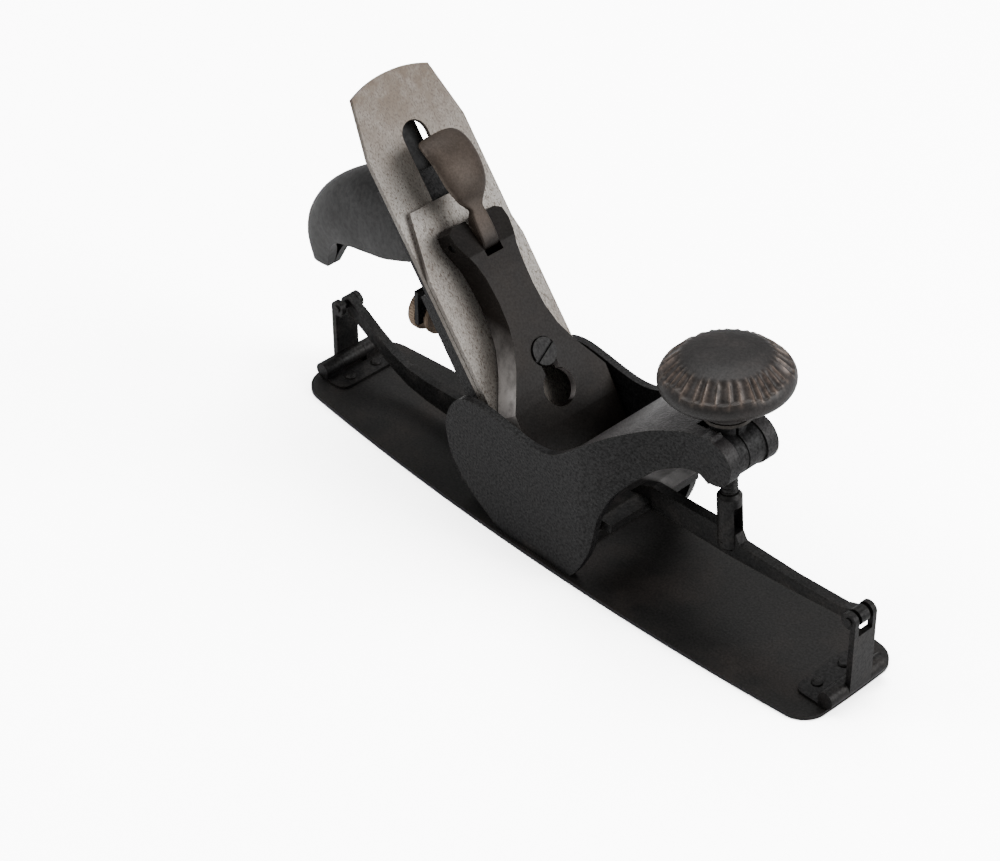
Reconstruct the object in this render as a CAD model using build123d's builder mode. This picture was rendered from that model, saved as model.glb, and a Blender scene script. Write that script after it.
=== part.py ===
from build123d import *
from math import sin, cos, tan, radians
import os

os.makedirs("parts", exist_ok=True)

# Driving sizes in millimetres
# X runs to the toe, Y to the far side, Z up. The underside of the sole is z = 0.
sole_length = 254.0
sole_thick = 1.6
cheek_outer = 27.2
cheek_thick = 3.0
cheek_inner = cheek_outer - cheek_thick
bed_angle = 52.45
bed_foot_x = 8.97
iron_width = 44.5
iron_thick = 2.0
iron_top = 176.0
iron_back_set = 0.3
cap_iron_thick = 2.1
slot_width = 11.0
block_low = sole_thick
block_high = 4.8
block_rear = -1.4
block_front = 14.9
knob_radius = 22.75
knob_lean = 4.5
rod_radius = 2.7
arm_end_half = 11.6
ear_inner = 6.45
link_arm_inner = 22.5
link_arm_outer = 24.0
barrel_radius = 3.1
hinge_half = 14.0
link_half = 5.3
front_barrel = (127.1, 5.6)
front_eye = (127.1, 34.6)
rear_barrel = (-123.3, 5.2)
rear_eye = (-123.3, 29.3)
front_pivot = (17.0, 20.0)
rear_pivot = (-3.0, 20.0)
mesh_point = (7.0, 20.0)
running = 0.05

bed_sin = sin(radians(bed_angle))
bed_cos = cos(radians(bed_angle))
lean_sin = sin(radians(knob_lean))
lean_cos = cos(radians(knob_lean))
knob_centre = (65.6, 0.0, 97.0)
swivel_height = 70.8
swivel_drop = (97.0 - swivel_height) / lean_cos
swivel_axis = (65.6 + swivel_drop * lean_sin, swivel_height)
ear_centre = (71.0, 70.8)
wheel_centre = (-75.5, 51.0)
ear_radius = 8.4

# Planes of the bed: one lies on it, one stands beside it with u up the bed and n off it
bed = Plane(origin=(bed_foot_x, 0, 0), x_dir=(0, 1, 0), z_dir=(bed_sin, 0, bed_cos))
bed_side = Plane(origin=(bed_foot_x, 0, 0), x_dir=(-bed_cos, 0, bed_sin), z_dir=(0, 1, 0))
spindle_side = Plane(origin=knob_centre, x_dir=(lean_cos, 0, lean_sin), z_dir=(0, -1, 0))
spindle = Plane(origin=knob_centre, x_dir=(lean_cos, 0, lean_sin), z_dir=(-lean_sin, 0, lean_cos))
spindle_axis = Axis(knob_centre, (-lean_sin, 0, lean_cos))


def on_bed(u, n):
    """The x and z of a point u up the bed and n off it."""
    return (bed_foot_x - u * bed_cos + n * bed_sin, u * bed_sin + n * bed_cos)


def rounded(points, parts=3):
    """More points along the same line, on a smooth curve through all of them."""
    result = []
    for i in range(len(points) - 1):
        a = points[max(i - 1, 0)]
        b, c = points[i], points[i + 1]
        d = points[min(i + 2, len(points) - 1)]
        for k in range(parts):
            t = k / parts
            result.append(tuple(
                0.5 * (2 * q + (r - p) * t + (2 * p - 5 * q + 4 * r - s) * t * t
                       + (3 * q - p - 3 * r + s) * t**3)
                for p, q, r, s in zip(a, b, c, d)))
    return result + [points[-1]]


def slab(points, y_low, y_high, mode=Mode.ADD):
    """A plate upright along X, its outline given in x and z."""
    with BuildSketch(Plane.XZ.offset(-y_high)) as drawn:
        with BuildLine():
            Polyline(*points, close=True)
        make_face()
    extrude(drawn.sketch, amount=y_high - y_low, mode=mode)


def bed_slab(points, y_low, y_high, mode=Mode.ADD):
    """A plate beside the bed, its outline given in u and n."""
    with BuildSketch(bed_side.offset(y_low)) as drawn:
        with BuildLine():
            Polyline(*points, close=True)
        make_face()
    extrude(drawn.sketch, amount=y_high - y_low, mode=mode)


def disc(x, z, radius, y_low, y_high, mode=Mode.ADD):
    """A round piece or hole along Y."""
    with BuildSketch(Plane.XZ.offset(-y_high)) as drawn:
        with Locations((x, z)):
            Circle(radius)
    extrude(drawn.sketch, amount=y_high - y_low, mode=mode)


def box(x_low, x_high, y_low, y_high, z_low, z_high, mode=Mode.ADD):
    """A block between the given limits."""
    with Locations(((x_low + x_high) / 2, (y_low + y_high) / 2, (z_low + z_high) / 2)):
        Box(x_high - x_low, y_high - y_low, z_high - z_low, mode=mode)


def post(x, y, radius, z_low, z_high, mode=Mode.ADD):
    """An upright round piece or hole."""
    with BuildSketch(Plane.XY.offset(z_low)) as drawn:
        with Locations((x, y)):
            Circle(radius)
    extrude(drawn.sketch, amount=z_high - z_low, mode=mode)


def bed_round(y, u, radius, n_low, n_high, mode=Mode.ADD):
    """A round piece or hole square to the bed."""
    with BuildSketch(bed.offset(n_low)) as drawn:
        with Locations((y, u)):
            Circle(radius)
    extrude(drawn.sketch, amount=n_high - n_low, mode=mode)


def bed_block(y_half, u_low, u_high, n_low, n_high, mode=Mode.ADD):
    """A block on the bed, centred across it."""
    with BuildSketch(bed.offset(n_low)) as drawn:
        with Locations((0, (u_low + u_high) / 2)):
            Rectangle(2 * y_half, u_high - u_low)
    extrude(drawn.sketch, amount=n_high - n_low, mode=mode)


def turned(points, mode=Mode.ADD):
    """A piece turned about the knob's own axis, from radius and height."""
    with BuildSketch(spindle_side) as drawn:
        with BuildLine():
            Polyline(*points, close=True)
        make_face()
    revolve(drawn.sketch, axis=spindle_axis, mode=mode)


def sole_half_width(x):
    """The sole is barrel shaped in plan, so that it bends to an even curve."""
    t = x / 100
    return 28.7 + 0.75 * t - 3.79 * t * t - 0.18 * t**4


# Sole: one thin flexible steel sheet with the mouth cut through it
rivet_spots = [(-7.4, -19.5), (-7.4, 19.5)]
screw_spots = [(-3.9, -10.0), (-3.9, 10.0)]
front_rivet_spots = [(117.4, -6.6), (117.4, 6.6)]
rear_rivet_spots = [(-115.9, -6.3), (-115.9, 6.3)]
half = sole_length / 2
stations = [-half + sole_length * i / 10 for i in range(11)]
near_edge = [(x, -sole_half_width(x)) for x in stations]
far_edge = [(x, sole_half_width(x)) for x in reversed(stations)]
with BuildPart() as sole:
    with BuildSketch(Plane.XY):
        with BuildLine():
            Spline(*near_edge)
            ThreePointArc(near_edge[-1], (half + 1.0, 0), far_edge[0])
            Spline(*far_edge)
            ThreePointArc(far_edge[-1], (-half - 0.6, 0), near_edge[0])
        face = make_face()
        front_corners = [v for v in face.vertices() if v.X > 0]
        rear_corners = [v for v in face.vertices() if v.X < 0]
        fillet(front_corners, 8.3)
        rear_corners = [v for v in vertices() if v.X < -half + 2]
        fillet(rear_corners, 10.0)
    extrude(amount=sole_thick)
    box(7.2, 12.7, -22.9, 22.9, -1, sole_thick + 1, mode=Mode.SUBTRACT)
    for spot in rivet_spots + screw_spots:
        post(*spot, 1.55, -1, sole_thick + 1, mode=Mode.SUBTRACT)
    for spot in screw_spots:
        with BuildSketch(Plane.XY):
            with Locations(spot):
                Circle(3.0)
        extrude(amount=1.5, taper=44, mode=Mode.SUBTRACT)
    for spot in front_rivet_spots + rear_rivet_spots:
        post(*spot, 1.55, -1, sole_thick + 1, mode=Mode.SUBTRACT)
sole.part.label = "sole"
export_step(sole.part, "parts/sole.step")

# Sole block: the steel mouth block riveted to the sole, its ends flush in the cheeks
with BuildPart() as sole_block:
    box(block_rear, block_front, -cheek_outer, cheek_outer, block_low, block_high)
    box(-11.5, block_front, -cheek_inner + 0.1, cheek_inner - 0.1, block_low, block_high)
    gap = [(7.2, 0), (12.7, 0), (12.7, 6), (4.0, 6), (4.95, block_high), (7.2, 1.9)]
    slab(gap, -22.9, 22.9, mode=Mode.SUBTRACT)
    for spot in rivet_spots + screw_spots:
        post(*spot, 1.55, 0, block_high + 1, mode=Mode.SUBTRACT)
sole_block.part.label = "sole_block"
export_step(sole_block.part, "parts/sole_block.step")

# Block rivets: two flush rivets through the sole and its block
with BuildPart() as block_rivets:
    for spot in rivet_spots:
        post(*spot, 1.5, 0.02, block_high - 0.05)
block_rivets.part.label = "block_rivets"
export_step(block_rivets.part, "parts/block_rivets.step")

# Body casting: two cheeks, the bed between them and the front arm with its forked end
cheek_outline = [
    (-2.6, 1.65), (-12.6, 1.9), (-20.2, 6.0), (-27.8, 11.1), (-32.9, 16.3), (-36.9, 21.7),
    (-38.9, 27.3), (-40.0, 33.8), (-39.3, 38.1), (-37.6, 42.7), (-34.7, 46.8), (-31.5, 49.3),
    (-27.0, 50.6), (-22.0, 50.9), (-15.0, 50.1), (-9.6, 49.2), (-2.5, 48.2), (2.7, 47.9),
    (8.5, 48.6), (13.3, 50.3), (17.1, 52.9), (22.0, 57.0), (27.2, 61.6), (32.5, 66.0),
    (37.8, 69.6), (43.2, 72.4), (48.0, 74.4), (54.3, 76.3), (60.0, 77.9), (65.5, 78.8),
    (71.0, 79.1), (71.0, 62.6), (66.0, 63.6), (59.1, 62.6), (51.3, 59.0),
    (46.8, 54.8), (41.4, 49.0), (37.5, 43.3), (34.6, 36.6), (32.6, 30.4), (30.4, 17.6), (25.6, 6.8),
    (21.8, 1.65),
]
arm_plan = [
    (-60.0, 27.2), (24.0, 27.2), (26.5, 27.05), (29.5, 26.5), (33.0, 25.4), (37.5, 23.3),
    (42.0, 20.6), (46.5, 17.8), (51.0, 15.2), (56.0, 13.2), (60.0, 12.1), (64.0, 11.6),
    (90.0, 11.6),
]


def arm_prism(inset, x_start, x_end, z_low, z_high, mode):
    """The space within the arm's plan outline, set in by the wall thickness."""
    curve = arm_plan[:1] + rounded(arm_plan[1:-1], 2) + arm_plan[-1:]
    side = [(x, y - inset) for x, y in curve if x_start < x < x_end]
    first = (x_start, side[0][1])
    last = (x_end, side[-1][1])
    upper = [first] + side + [last]
    lower = [(x, -y) for x, y in reversed(upper)]
    with BuildSketch(Plane.XY.offset(z_low)) as drawn:
        with BuildLine():
            Polyline(*(upper + lower), close=True)
        make_face()
    extrude(drawn.sketch, amount=z_high - z_low, mode=mode)


with BuildPart() as body_casting:
    slab(rounded(cheek_outline, 3), -cheek_outer, cheek_outer)
    disc(*ear_centre, ear_radius, -arm_end_half, arm_end_half)
    arm_prism(0.0, -60.0, 85.0, 0, 100, Mode.INTERSECT)
    # the throat between the cheeks, back to front and open above
    throat = [(-60, 0), (-60, 90), (24.0, 90), (24.0, 55.2), (28.0, 57.8), (36.5, 64.5),
              (46.3, 69.4), (54.1, 72.2), (58.0, 73.4), (58.0, 55.0), (60.0, 30), (60, 0)]
    slab(throat[:4] + [(24.0, 0)], -cheek_inner, cheek_inner, mode=Mode.SUBTRACT)
    with BuildSketch(Plane.XZ.offset(-30)):
        with BuildLine():
            Polyline((23.9, 0), (23.9, 54.9), *throat[4:9], (58.0, 0), close=True)
        make_face()
    hollow_tool = extrude(amount=60, mode=Mode.PRIVATE)
    side = [(x, y - cheek_thick) for x, y in arm_plan if 23.9 < x < 57.5]
    ring = [(23.9, cheek_inner)] + side + [(57.5, 9.6)]
    with BuildSketch(Plane.XY):
        with BuildLine():
            Polyline(*(ring + [(x, -y) for x, y in reversed(ring)]), close=True)
        make_face()
    plan_tool = extrude(amount=100, mode=Mode.PRIVATE)
    add(hollow_tool & plan_tool, mode=Mode.SUBTRACT)
    # the notch that the mouth block's end fills in each cheek
    box(block_rear - 0.03, block_front + 0.03, -40, 40, 0, block_high + 0.03, mode=Mode.SUBTRACT)
    # the fork at the end of the arm
    box(58.9, 90, -ear_inner, ear_inner, 55, 95, mode=Mode.SUBTRACT)
    disc(*swivel_axis, 2.5, -20, 20, mode=Mode.SUBTRACT)
    # the bed, narrow below where the lever arms pass and cast to the cheeks above
    bed_slab([(6.6, 0), (40, 0), (40, -8.8), (13.4, -8.8)], -22.2, 22.2)
    bed_slab([(40, 0), (60.5, 0), (60.5, -8.0), (40, -8.8)], -cheek_inner - 0.5, cheek_inner + 0.5)
    bed_slab([(60.5, 0), (140, 0), (140, -3.6), (60.5, -3.6)], -21.0, 21.0)
    bed_slab([(60.5, -3), (101, -3), (101, -7), (60.5, -8)], -21.0, -18.0)
    bed_slab([(60.5, -3), (101, -3), (101, -7), (60.5, -8)], 18.0, 21.0)
    with BuildSketch(Plane.YZ.offset(-50.0)):
        with Locations((0, wheel_centre[1])):
            Circle(6.0)
    extrude(amount=16)
    bed_round(0, 66.5, 6.5, -8, -1)
    for side in (-1, 1):
        bed_slab([(85, -3), (99, -3), (96, -14), (88, -14)], side * 5.3 - 1.6, side * 5.3 + 1.6)
    box(-60, 60, -22.2, 22.2, 0, block_high + 0.03, mode=Mode.SUBTRACT)
    # openings in the bed: lever cap screw, adjusting lever's tip, cap iron screw and grip screws
    bed_round(0, 66.5, 3.0, -6.2, 5, mode=Mode.SUBTRACT)
    bed_block(3.6, 84, 99.5, -3.7, 2, mode=Mode.SUBTRACT)
    bed_block(7.0, 100, 118, -3.7, 2, mode=Mode.SUBTRACT)
    bed_block(3.6, 84, 99.5, -15, -3.5, mode=Mode.SUBTRACT)
    disc(*on_bed(92, -10), 1.5, -20, 20, mode=Mode.SUBTRACT)
    for y in (-13.0, 13.0):
        bed_round(y, 124, 2.5, -10, 2, mode=Mode.SUBTRACT)
        bed_round(y, 124, 4.4, -2.0, 2, mode=Mode.SUBTRACT)
    with BuildSketch(Plane.YZ.offset(-51.0)):
        with Locations((0, wheel_centre[1])):
            Circle(3.0)
    extrude(amount=8, mode=Mode.SUBTRACT)
    for spot in screw_spots:
        post(*spot, 1.5, 3, 11, mode=Mode.SUBTRACT)
    # blind holes inside each cheek for the lever pivots
    for pivot in (front_pivot, rear_pivot):
        disc(*pivot, 2.0, -cheek_inner - 1.7, cheek_inner + 1.7, mode=Mode.SUBTRACT)
body_casting.part.label = "body_casting"
export_step(body_casting.part, "parts/body_casting.step")

# Sole screws: two countersunk screws from beneath into the foot of the bed
with BuildPart() as sole_screws:
    for spot in screw_spots:
        post(*spot, 1.5, 0.05, 10.9)
        with BuildSketch(Plane.XY.offset(0.05)):
            with Locations(spot):
                Circle(2.9)
        extrude(amount=1.4, taper=44)
sole_screws.part.label = "sole_screws"
export_step(sole_screws.part, "parts/sole_screws.step")

# Lever pivots: four short pins, one inside each cheek for each lever
with BuildPart() as lever_pivots:
    for pivot in (front_pivot, rear_pivot):
        disc(*pivot, 1.98, link_arm_inner - 0.1, cheek_inner + 1.6)
        disc(*pivot, 1.98, -cheek_inner - 1.6, -link_arm_inner + 0.1)
lever_pivots.part.label = "lever_pivots"
export_step(lever_pivots.part, "parts/lever_pivots.step")


def both_sides(points):
    """The same flat arm inside the far and the near cheek."""
    slab(points, link_arm_inner, link_arm_outer)
    slab(points, -link_arm_outer, -link_arm_inner)


def both_discs(x, z, radius, mode=Mode.ADD):
    """The same round on both side arms."""
    disc(x, z, radius, link_arm_inner - 0.5 * (mode != Mode.ADD), link_arm_outer, mode=mode)
    disc(x, z, radius, -link_arm_outer, -link_arm_inner + 0.5 * (mode != Mode.ADD), mode=mode)


# Front lever: forked round the iron, with jaws at the back and a long bar to the toe
with BuildPart() as front_lever:
    both_sides([(4.0, 16.0), (17.0, 15.2), (24.2, 20.2), (24.2, 27.2), (17.0, 24.8), (4.0, 24.0)])
    slab([(20.0, 20.6), (24.2, 20.6), (24.2, 27.2), (20.0, 26.0)], -link_arm_outer, link_arm_outer)
    slab([(21.0, 20.6), (24.2, 20.6), (31.0, 25.0), (36.0, 26.0), (36.0, 29.2), (30.0, 29.2),
          (21.0, 26.3)], -21.4, 21.4)
    slab([(26.0, 23.6), (36.0, 26.0), (54, 26.6), (72, 27.0), (100, 29.2), (121, 31.4), (127.1, 31.6),
          (127.1, 37.6), (121, 35.2), (100, 34.0), (76.5, 34.2), (74.6, 37.4), (54, 36.2), (36, 35.4),
          (30.5, 33.0), (26.0, 27.9)], -2.0, 2.0)
    disc(*front_eye, 3.0, -2.0, 2.0)
    slab([(0, 17.95), (9.9, 17.95), (9.9, 22.05), (0, 22.05)], -30, 30, mode=Mode.SUBTRACT)
    disc(9.9, 20.0, 2.05, -30, 30, mode=Mode.SUBTRACT)
    disc(*front_eye, 1.55, -5, 5, mode=Mode.SUBTRACT)
    disc(*front_pivot, 2.03, -30, 30, mode=Mode.SUBTRACT)
    with BuildSketch(Plane.XZ.offset(-5)):
        with Locations((70.67, 34.5)):
            SlotCenterToCenter(0.6, 3.6)
    extrude(amount=10, mode=Mode.SUBTRACT)
front_lever.part.label = "front_lever"
export_step(front_lever.part, "parts/front_lever.step")

# Rear lever: forked the same way, its round tongues between the front lever's jaws
with BuildPart() as rear_lever:
    both_sides([(-3.0, 24.5), (-14.0, 22.5), (-30.0, 16.6), (-36.0, 16.6), (-36.0, 9.6),
                (-29.0, 9.6), (-14.0, 15.0), (-3.0, 15.5)])
    both_discs(*rear_pivot, 4.5)
    both_sides([(-3.0, 18.8), (7.0, 18.8), (7.0, 21.2), (-3.0, 21.2)])
    both_discs(*mesh_point, 2.0)
    box(-36.0, -30.0, -link_arm_outer, link_arm_outer, 9.6, 16.6)
    slab([(-31, 9.6), (-31, 18.0), (-45, 18.2), (-58, 17.6), (-70, 17.0), (-80, 16.6), (-90, 17.2),
          (-98, 19.4), (-107, 23.8), (-115, 28.6), (-121.5, 31.8), (-124.4, 26.9), (-117, 22.9),
          (-107, 17.4), (-98, 12.6), (-90, 9.4), (-80, 7.9), (-70, 7.4), (-58, 7.6), (-45, 8.6)],
         -0.6, 3.0)
    disc(*rear_eye, 3.0, -0.6, 3.0)
    disc(*rear_eye, 1.55, -5, 5, mode=Mode.SUBTRACT)
    disc(*rear_pivot, 2.03, -30, 30, mode=Mode.SUBTRACT)
rear_lever.part.label = "rear_lever"
export_step(rear_lever.part, "parts/rear_lever.step")


def hinge_plate(end, inner_x, barrel, spots):
    """A leaf on the sole rolled up into two knuckles, with a gap between for the link."""
    low, high = sorted((inner_x, barrel[0]))
    with BuildSketch(Plane.XY.offset(sole_thick)) as leaf:
        with Locations(((low + high) / 2, 0)):
            Rectangle(high - low, 2 * hinge_half)
        corners = [v for v in leaf.vertices() if abs(v.X - inner_x) < 0.1]
        fillet(corners, 4.0)
    extrude(leaf.sketch, amount=1.1)
    for y in (-1, 1):
        y_low, y_high = sorted((y * (link_half + 0.15), y * hinge_half))
        disc(*barrel, barrel_radius, y_low, y_high)
        z_low = sole_thick
        web_low, web_high = sorted((barrel[0] - end * 3.0, barrel[0]))
        box(web_low, web_high, y_low, y_high, z_low, barrel[1])
    clear = link_half + 0.15
    away_low, away_high = sorted((barrel[0] - end * 3.6, barrel[0] + end * 8))
    box(away_low, away_high, -clear, clear, 0, 20, mode=Mode.SUBTRACT)
    disc(*barrel, 1.5, -20, 20, mode=Mode.SUBTRACT)
    for spot in spots:
        post(*spot, 1.5, 0, 5, mode=Mode.SUBTRACT)


# Front hinge plate: riveted to the toe of the sole
with BuildPart() as front_hinge_plate:
    hinge_plate(1, 113.3, front_barrel, front_rivet_spots)
front_hinge_plate.part.label = "front_hinge_plate"
export_step(front_hinge_plate.part, "parts/front_hinge_plate.step")

# Rear hinge plate: riveted to the heel of the sole
with BuildPart() as rear_hinge_plate:
    hinge_plate(-1, -111.6, rear_barrel, rear_rivet_spots)
rear_hinge_plate.part.label = "rear_hinge_plate"
export_step(rear_hinge_plate.part, "parts/rear_hinge_plate.step")


def plate_rivets(spots):
    """Round-headed rivets, flush beneath the sole."""
    for x, y in spots:
        post(x, y, 1.48, 0.02, sole_thick + 1.3)
        with Locations((x, y, sole_thick + 1.12)):
            Cylinder(2.1, 0.9, align=(Align.CENTER, Align.CENTER, Align.MIN))
        chamfer(edges().filter_by(GeomType.CIRCLE).group_by(Axis.Z)[-1], 0.5)


# Front plate rivets: two, round headed
with BuildPart() as front_plate_rivets:
    plate_rivets(front_rivet_spots[:1])
    plate_rivets(front_rivet_spots[1:])
front_plate_rivets.part.label = "front_plate_rivets"
export_step(front_plate_rivets.part, "parts/front_plate_rivets.step")

# Rear plate rivets: two, round headed
with BuildPart() as rear_plate_rivets:
    plate_rivets(rear_rivet_spots[:1])
    plate_rivets(rear_rivet_spots[1:])
rear_plate_rivets.part.label = "rear_plate_rivets"
export_step(rear_plate_rivets.part, "parts/rear_plate_rivets.step")


def hinge_link(end, barrel, eye):
    """An upright strap: one wide knuckle below and two ears above."""
    face_x = barrel[0] + end * barrel_radius
    inner_x = face_x - end * 2.2
    low, high = sorted((face_x, inner_x))
    box(low, high, -link_half, link_half, barrel[1], eye[1])
    disc(*barrel, barrel_radius, -link_half, link_half)
    disc(*eye, barrel_radius, -link_half, link_half)
    gap_low, gap_high = sorted((eye[0] - 8, eye[0] + 8))
    box(gap_low, gap_high, -3.35, 3.35, eye[1] - 5.6, eye[1] + 8, mode=Mode.SUBTRACT)
    disc(*barrel, 1.66, -20, 20, mode=Mode.SUBTRACT)
    disc(*eye, 1.5, -20, 20, mode=Mode.SUBTRACT)


# Front link: from the toe's hinge up to the end of the front lever
with BuildPart() as front_link:
    hinge_link(1, front_barrel, front_eye)
front_link.part.label = "front_link"
export_step(front_link.part, "parts/front_link.step")

# Rear link: from the heel's hinge up to the end of the rear lever
with BuildPart() as rear_link:
    hinge_link(-1, rear_barrel, rear_eye)
rear_link.part.label = "rear_link"
export_step(rear_link.part, "parts/rear_link.step")

# Hinge pins and link pins: plain steel pins, filed off flush or left just proud
with BuildPart() as front_hinge_pin:
    disc(*front_barrel, 1.49, -hinge_half, hinge_half)
front_hinge_pin.part.label = "front_hinge_pin"
export_step(front_hinge_pin.part, "parts/front_hinge_pin.step")

with BuildPart() as rear_hinge_pin:
    disc(*rear_barrel, 1.49, -hinge_half, hinge_half)
rear_hinge_pin.part.label = "rear_hinge_pin"
export_step(rear_hinge_pin.part, "parts/rear_hinge_pin.step")

with BuildPart() as front_link_pin:
    disc(*front_eye, 1.49, -link_half - 0.5, link_half + 0.5)
front_link_pin.part.label = "front_link_pin"
export_step(front_link_pin.part, "parts/front_link_pin.step")

with BuildPart() as rear_link_pin:
    disc(*rear_eye, 1.49, -link_half - 0.5, link_half + 0.5)
rear_link_pin.part.label = "rear_link_pin"
export_step(rear_link_pin.part, "parts/rear_link_pin.step")

# Swivel block: rocks between the ears of the arm and carries the knob
with BuildPart() as swivel_block:
    disc(*swivel_axis, 8.2, -ear_inner + 0.1, ear_inner - 0.1)
    disc(ear_centre[0] - 0.3, ear_centre[1], 8.0, -ear_inner + 0.1, ear_inner - 0.1)
    turned([(0, -22), (6.2, -22), (6.2, -14.6), (0, -14.6)])
    turned([(0, -40), (4.3, -40), (4.3, 0), (0, 0)], mode=Mode.SUBTRACT)
    turned([(0, -45), (6.0, -45), (6.0, -32.0), (0, -32.0)], mode=Mode.SUBTRACT)
    disc(*swivel_axis, 2.53, -9, 9, mode=Mode.SUBTRACT)
    with BuildSketch(Plane.XZ.offset(1.4)):
        with Locations(ear_centre):
            Circle(20)
            Circle(7.4, mode=Mode.SUBTRACT)
        with Locations((ear_centre[0] - 24, ear_centre[1])):
            Rectangle(48, 60, mode=Mode.SUBTRACT)
    extrude(amount=1.0, mode=Mode.SUBTRACT)
swivel_block.part.label = "swivel_block"
export_step(swivel_block.part, "parts/swivel_block.step")

# Swivel pins: two short pins, pressed in the ears and filed flush
with BuildPart() as swivel_pins:
    disc(*swivel_axis, 2.48, 4.7, arm_end_half - 0.05)
    disc(*swivel_axis, 2.48, -arm_end_half + 0.05, -4.7)
swivel_pins.part.label = "swivel_pins"
export_step(swivel_pins.part, "parts/swivel_pins.step")

# Thrust washer: the light ring under the knob's neck
with BuildPart() as thrust_washer:
    turned([(4.35, -14.55), (8.4, -14.55), (8.4, -13.35), (4.35, -13.35)])
thrust_washer.part.label = "thrust_washer"
export_step(thrust_washer.part, "parts/thrust_washer.step")

# Knob: a cast hand wheel with a domed top, scalloped rim and tapped spigot below
with BuildPart() as knob:
    turned([(0, 9.6), (8, 9.2), (13, 8.3), (16.6, 7.0), (19.4, 5.0), (21.3, 3.0), (22.4, 1.0),
            (knob_radius, -0.8), (22.3, -2.8), (20.6, -4.6), (17, -6.0), (8.0, -7.0), (8.0, -13.3),
            (4.24, -13.3), (4.24, -35.0), (0, -35.0)])
    turned([(0, -40), (rod_radius + running, -40), (rod_radius + running, 1.5), (0, 1.5)],
           mode=Mode.SUBTRACT)
knob.part.label = "knob"
export_step(knob.part, "parts/knob.step")

# Knob collar: the ring riveted on the spigot below the swivel block
with BuildPart() as knob_collar:
    turned([(4.26, -34.6), (5.8, -34.6), (5.8, -32.1), (4.26, -32.1)])
knob_collar.part.label = "knob_collar"
export_step(knob_collar.part, "parts/knob_collar.step")

# Clevis screw: the threaded rod, forked at its foot over the front lever
pin_drop = (97.0 - 34.5) / lean_cos
with BuildPart() as clevis_screw:
    turned([(0, -48), (rod_radius, -48), (rod_radius, -6.5), (0, -6.5)])
    turned([(0, -67.6), (3.2, -67.6), (4.4, -66.2), (4.4, -46.6), (3.4, -45.2), (0, -45.2)])
    with BuildSketch(spindle_side.offset(-2.15)):
        with Locations((0, -63.0)):
            Rectangle(14, 26.0)
    extrude(amount=4.3, mode=Mode.SUBTRACT)
    with BuildSketch(spindle_side.offset(-10)):
        with Locations((0, -pin_drop)):
            Circle(1.5)
    extrude(amount=20, mode=Mode.SUBTRACT)
clevis_screw.part.label = "clevis_screw"
export_step(clevis_screw.part, "parts/clevis_screw.step")

# Clevis pin: through the fork and the lever
with BuildPart() as clevis_pin:
    with BuildSketch(spindle_side.offset(-4.2)):
        with Locations((0, -pin_drop)):
            Circle(1.49)
    extrude(amount=8.4)
clevis_pin.part.label = "clevis_pin"
export_step(clevis_pin.part, "parts/clevis_pin.step")

# Iron: flat steel blade, bevelled on its back at the edge, with a long slot
edge_u = (iron_back_set - iron_thick * bed_cos) / bed_sin
bevel_u = edge_u + iron_thick / tan(radians(25))
half_iron = iron_width / 2
with BuildPart() as iron:
    bed_slab([(edge_u, iron_thick), (bevel_u, 0.02), (iron_top + 1, 0.02), (iron_top + 1, iron_thick)],
             -half_iron, half_iron)
    with BuildSketch(bed.offset(-5)):
        with BuildLine():
            Polyline((-17.5, 172.5), (-half_iron, 151.4), (-half_iron, -5), (half_iron, -5),
                     (half_iron, 151.4), (17.5, 172.5))
            ThreePointArc((17.5, 172.5), (0, iron_top), (-17.5, 172.5))
        make_face()
    extrude(amount=12, mode=Mode.INTERSECT)
    with BuildSketch(bed.offset(-5)):
        with Locations((0, 105)):
            SlotOverall(105, slot_width, rotation=90)
    extrude(amount=12, mode=Mode.SUBTRACT)
iron.part.label = "iron"
export_step(iron.part, "parts/iron.step")

# Cap iron: stiffens the edge, humped behind it, screwed to the iron's back
with BuildPart() as cap_iron:
    top = iron_thick + 0.02 + cap_iron_thick
    bed_slab([(0.8, 2.03), (1.3, 3.1), (4.5, 5.1), (9, 6.0), (13, 5.9), (18, 5.0), (23, top),
              (129, top), (129, 2.02), (22, 2.02), (17, 2.9), (12, 3.8), (8, 3.9), (4, 3.0), (1.8, 2.03)],
             -22.1, 22.1)
    with BuildSketch(bed.offset(-5)):
        with BuildLine():
            Polyline((-17.6, 129), (-22.1, 105), (-22.1, -5), (22.1, -5), (22.1, 105), (17.6, 129),
                     close=True)
        make_face()
    extrude(amount=14, mode=Mode.INTERSECT)
    with BuildSketch(bed):
        with Locations((0, 67)):
            SlotOverall(22, 8, rotation=90)
        with Locations((0, 93.5)):
            Rectangle(7.4, 5.4)
        with Locations((0, 109)):
            Circle(3.0)
    extrude(amount=10, mode=Mode.SUBTRACT)
cap_iron.part.label = "cap_iron"
export_step(cap_iron.part, "parts/cap_iron.step")

# Cap iron screw: broad head behind the iron, shank through its slot
with BuildPart() as cap_iron_screw:
    bed_round(0, 109, 6.4, -2.4, 0)
    bed_round(0, 109, 2.97, -1, top - 0.1)
    with BuildSketch(bed.offset(-2.5)):
        with Locations((0, 109)):
            Rectangle(14, 1.4)
    extrude(amount=1.1, mode=Mode.SUBTRACT)
cap_iron_screw.part.label = "cap_iron_screw"
export_step(cap_iron_screw.part, "parts/cap_iron_screw.step")

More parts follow.
